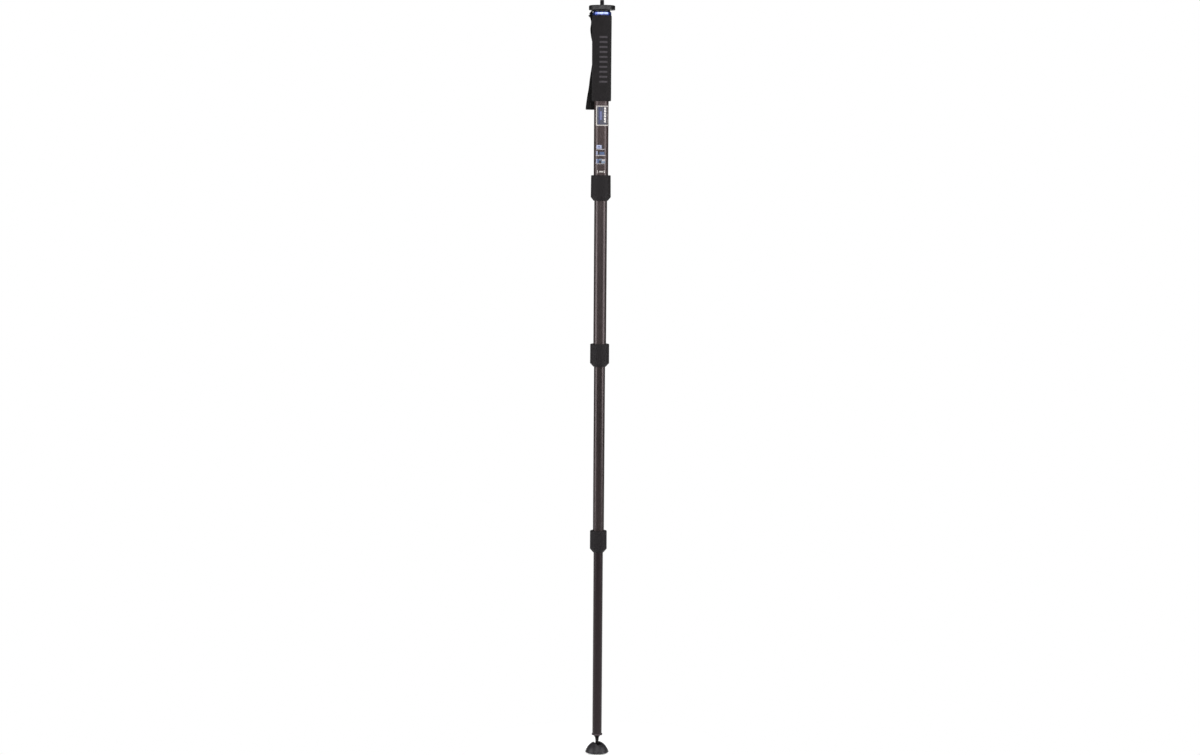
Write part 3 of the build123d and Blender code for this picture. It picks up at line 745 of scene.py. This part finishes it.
def cut_slot(screw):
    """Cuts the driver's slot into the screw's tip for good."""
    cutter_mesh = bpy.data.meshes.new("slot_cutter")
    bm = bmesh.new()
    bmesh.ops.create_cube(bm, size=1.0)
    bmesh.ops.scale(bm, vec=slot_size, verts=bm.verts)
    bmesh.ops.translate(bm, vec=(0, 0, stud_high.z), verts=bm.verts)
    bm.to_mesh(cutter_mesh)
    bm.free()
    cutter = add_object("slot_cutter", cutter_mesh)
    cut = screw.modifiers.new("slot", "BOOLEAN")
    cut.operation, cut.object, cut.solver = "DIFFERENCE", cutter, "EXACT"
    bpy.context.view_layer.update()
    depsgraph = bpy.context.evaluated_depsgraph_get()
    shaped = bpy.data.meshes.new_from_object(screw.evaluated_get(depsgraph))
    screw.modifiers.clear()
    screw.data = shaped
    shaped.name = "camera_screw"
    shaped.set_sharp_from_angle(angle=math.radians(screw_crease))
    bpy.data.objects.remove(cutter)


def make_camera_screw():
    turns = [c / screw_columns for c in range(screw_columns)]
    reach = stud_high.z - plate_high.z
    steps = round(reach / (thread_pitch / rows_per_turn))
    rows = [([radius] * screw_columns, z) for radius, z in screw_outline()]
    for step in range(1, steps + 1):
        up = reach * step / steps
        rows.append(([thread_radius(turn, up) for turn in turns], plate_high.z + up))
    points = [(radius * math.cos(FULL_TURN * turn), radius * math.sin(FULL_TURN * turn), z)
              for radii, z in rows for radius, turn in zip(radii, turns)]
    points += [(0, 0, stud_low.z), (0, 0, stud_high.z)]
    faces = loop_faces(len(rows), screw_columns)
    last = (len(rows) - 1) * screw_columns
    for c in range(screw_columns):
        beside = (c + 1) % screw_columns
        faces.append((beside, c, len(points) - 2))
        faces.append((last + c, last + beside, len(points) - 1))
    screw = make_piece("camera_screw", points, faces, "upper_section", screw_metal,
                       screw_crease)
    cut_slot(screw)
    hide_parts("camera_stud")


make_camera_screw()


# Printing on the top tube: plain frames, bars and blocks, each a thin film on the carbon

film_thickness = 0.05 * MM
film_gap, layer_gap = 0.012 * MM, 0.004 * MM   # under the first film, and between two
film_step = 1.1                            # mm round the tube, at most


def film(name, colour, layer, blocks):
    """Curved film of one ink. Its blocks are (left, right, bottom, top) in mm, measured along the
    tube's front from its middle line."""
    film_low = tube_radius + film_gap + layer * (film_thickness + layer_gap)
    film_high = film_low + film_thickness
    points, faces = [], []
    for left, right, bottom, top in blocks:
        start = len(points)
        steps = max(1, math.ceil((right - left) / film_step))
        for step in range(steps + 1):
            angle = (left + (right - left) * step / steps) * MM / tube_radius
            points += [round_front(radius, angle, height * MM) for radius, height in (
                (film_low, bottom), (film_high, bottom), (film_high, top), (film_low, top))]
        caps = [(3, 2, 1, 0), tuple(range(4 * steps, 4 * steps + 4))]
        faces += [tuple(start + i for i in face) for face in loop_faces(steps + 1, 4) + caps]
    make_piece(name, points, faces, "upper_section", inks[colour], 30.0)


panel_low, panel_high = 1419.6, 1463.8
film("print_frame", "cream", 0, [
    (-13.15, -10.25, panel_low, panel_high), (17.1, 18.6, panel_low, panel_high),
    (-10.25, 17.1, panel_low, panel_low + 2.1), (-10.25, 17.1, panel_high - 2.1, panel_high)])
film("print_panel", "slate", 0, [(-10.15, 13.2, panel_low + 2.4, panel_high - 2.4)])
film("print_band", "navy", 1, [(-5.9, -3.1, panel_low + 2.5, panel_high - 2.5)])
film("print_strip", "pale", 1, [(-2.97, 1.27, 1432.8, 1451.5)])
film("print_dashes", "white", 1, [
    (6.4, 11.2, 1426.8 + 5.7 * step, 1431.4 + 5.7 * step) for step in range(6)])
film("print_pale_blocks", "sky", 0, [(-10.9, 1.0, 1368.9, 1376.9)])
film("print_hollow", "pale", 1, [(-6.9, -2.6, 1370.9, 1375.0)])
film("print_mist_blocks", "mist", 0, [
    (-12.3, -7.6, 1355.6, 1363.0), (-12.3, -8.4, 1337.0, 1346.4)])
film("print_dark_blocks", "dark", 0, [
    (1.5, 4.8, 1370.4, 1376.0), (-7.4, -3.4, 1355.8, 1362.0), (-4.3, 0.6, 1338.8, 1343.0)])
film("print_mid_blocks", "blue", 0, [
    (-3.2, 7.8, 1355.6, 1361.9), (-8.2, -4.5, 1336.8, 1345.8)])
film("print_steel_blocks", "steel", 0, [
    (0.8, 9.6, 1336.8, 1341.0), (-4.3, 1.4, 1343.2, 1346.4)])
film("print_light_blocks", "silver", 0, [(1.6, 10.2, 1341.2, 1345.6)])
film("print_lines", "silver", 0, [
    (-10.9, 10.4, 1366.8, 1368.2), (-12.3, 10.4, 1352.9, 1354.9), (-12.3, 9.6, 1334.9, 1336.2)])
film("print_index", "cream", 0, [
    (-9.1, -7.3, 1314.8, 1320.6), (7.3, 9.1, 1314.8, 1321.2), (-4.2, 5.4, 1316.4, 1319.5)])


# Stage

white = (1.0, 1.0, 1.0, 1.0)
floor_half = 2.5
plain_white = (0.05, 0.3)                  # distances over which the floor turns plain white
painted_shade_reach = (0.024, 0.06)                    # distances over which the shade at the foot ends
painted_shade_narrowing = 2.0                         # times that it is shorter sideways
# The floor's albedo is painted down to shade_grey at the foot: a painted shadow.
shade_grey, floor_grey, floor_glow = 0.4, 0.82, 0.44
studio_grey = 0.1                          # the world as a light
backdrop_edge = 0.965                      # share of +Y in a direction that meets the backdrop


def make_floor():
    """Pale floor, which the camera, gloss and glass see as white except near the foot. There it
    keeps the foot's shadow, and a painted grey shade from a darker albedo and less glow, which
    reaches further in front of the foot and behind it than to its sides."""
    material = bpy.data.materials.new("floor")
    material.use_nodes = True
    f = Nodes(material.node_tree)
    paths = f.add("LightPath").outputs
    mirrored = f.math("ADD", paths["Is Camera Ray"], paths["Is Glossy Ray"])
    seen = f.math("MINIMUM", f.math("ADD", mirrored, paths["Is Transmission Ray"]), 1.0)
    x, y, _ = f.split()
    far = f.between(f.length(x, y), *plain_white)
    # Painted shadow: near the foot the albedo and the glow drop, over a shorter reach at the sides
    # than in front and behind.
    close = f.length(f.math("MULTIPLY", x, painted_shade_narrowing), y)
    diffuse = f.add("BsdfDiffuse", f.between(close, *painted_shade_reach, shade_grey, floor_grey))
    glow = f.math("MULTIPLY", seen, f.between(close, *painted_shade_reach, 0.0, floor_glow))
    near = f.add("AddShader", diffuse.outputs[0], f.add("Emission", white, glow).outputs[0])
    mixed = f.add("MixShader", f.math("MULTIPLY", seen, far), near.outputs[0],
                  f.add("Emission", white, 1.0).outputs[0])
    f.add("OutputMaterial", mixed.outputs[0])
    mesh = bpy.data.meshes.new("floor")
    corners = [(x * floor_half, y * floor_half, 0) for x, y in ((-1, -1), (1, -1), (1, 1), (-1, 1))]
    mesh.from_pydata(corners, [], [(0, 1, 2, 3)])
    mesh.materials.append(material)
    floor = add_object("floor", mesh)


def make_world():
    """White to the camera, white to gloss and glass behind the mast, and grey as a light."""
    world = bpy.data.worlds.new("studio")
    bpy.context.scene.world = world
    world.use_nodes = True
    w = Nodes(world.node_tree)
    paths = w.add("LightPath").outputs
    _, towards, _ = w.add("SeparateXYZ", w.add("TexCoord").outputs["Generated"]).outputs
    backdrop = w.math("GREATER_THAN", towards, backdrop_edge)
    gloss = w.math("ADD", paths["Is Glossy Ray"], paths["Is Transmission Ray"])
    mirrored = w.math("MULTIPLY", gloss, backdrop)
    seen = w.math("MINIMUM", w.math("ADD", paths["Is Camera Ray"], mirrored), 1.0)
    strength = w.math("ADD", w.math("MULTIPLY", seen, 1.0 - studio_grey), studio_grey)
    w.add("OutputWorld", w.add("Background", white, strength).outputs[0])


def add_light(name, kind, place, aim, **settings):
    """A light that the camera doesn't see, turned from its place to its aim."""
    data = bpy.data.lights.new(name, kind)
    for setting, value in settings.items():
        setattr(data, setting, value)
    light = add_object(name, data)
    light.location = place
    light.rotation_euler = (Vector(aim) - Vector(place)).to_track_quat("-Z", "Y").to_euler()
    light.visible_camera = False


def area_light(name, place, aim, width, height, radiance):
    """A softbox. A radiance of 1 takes 4 watts for each square metre."""
    add_light(name, "AREA", place, aim, shape="RECTANGLE", size=width, size_y=height,
              energy=radiance * width * height * 4)


make_floor()
make_world()
# A softbox on each side, fill from the front and from above, and a spot for the glint on the foot
area_light("left_box", (-1.95, -0.5, 0.98), (0, 0, 0.98), 1.0, 1.45, 3.4)
area_light("right_box", (1.95, -0.65, 1.05), (0, 0, 1.05), 1.0, 1.3, 3.4)
add_light("foot_glint", "SPOT", (-0.12, -1.2, 1.45), (0, 0, 0.01), spot_size=math.radians(9.0),
          spot_blend=0.6, shadow_soft_size=0.2, energy=45.0)
area_light("front_fill", (0.4, -3.6, 3.3), (0, 0, 0.9), 3.0, 1.6, 1.8)
area_light("top_soft", (0.2, -0.4, 3.6), (0, 0, 1.0), 2.0, 2.0, 2.2)

# Softboxes in an arc round the front, for the bright band on the ring and the platform's rim
band_reach, band_height, band_aim = 4, 2.0, 1.66
for turn, radiance in ((-78, 1.2), (-42, 3.8), (-6, 5.4), (30, 3.9), (62, 3.8)):
    area_light(f"band_light_{turn}", round_front(band_reach, math.radians(turn), band_height),
               (0, 0, band_aim), 2.6, 0.5, radiance)

# The camera stands in front of the mast, looks slightly down and rolls a little
camera_place = (1.2 * MM, -5370 * MM, 1359 * MM)
camera_dip, camera_roll = 5.34, 0.405      # degrees
camera_data = bpy.data.cameras.new("camera")
camera_data.lens = 72.0
camera_data.sensor_width = 36.0
camera = add_object("camera", camera_data)
camera.matrix_world = (Matrix.Translation(camera_place)
                       @ Matrix.Rotation(math.radians(90 - camera_dip), 4, "X")
                       @ Matrix.Rotation(math.radians(camera_roll), 4, "Z"))
bpy.context.scene.camera = camera
bpy.context.scene.view_settings.view_transform = "Standard"
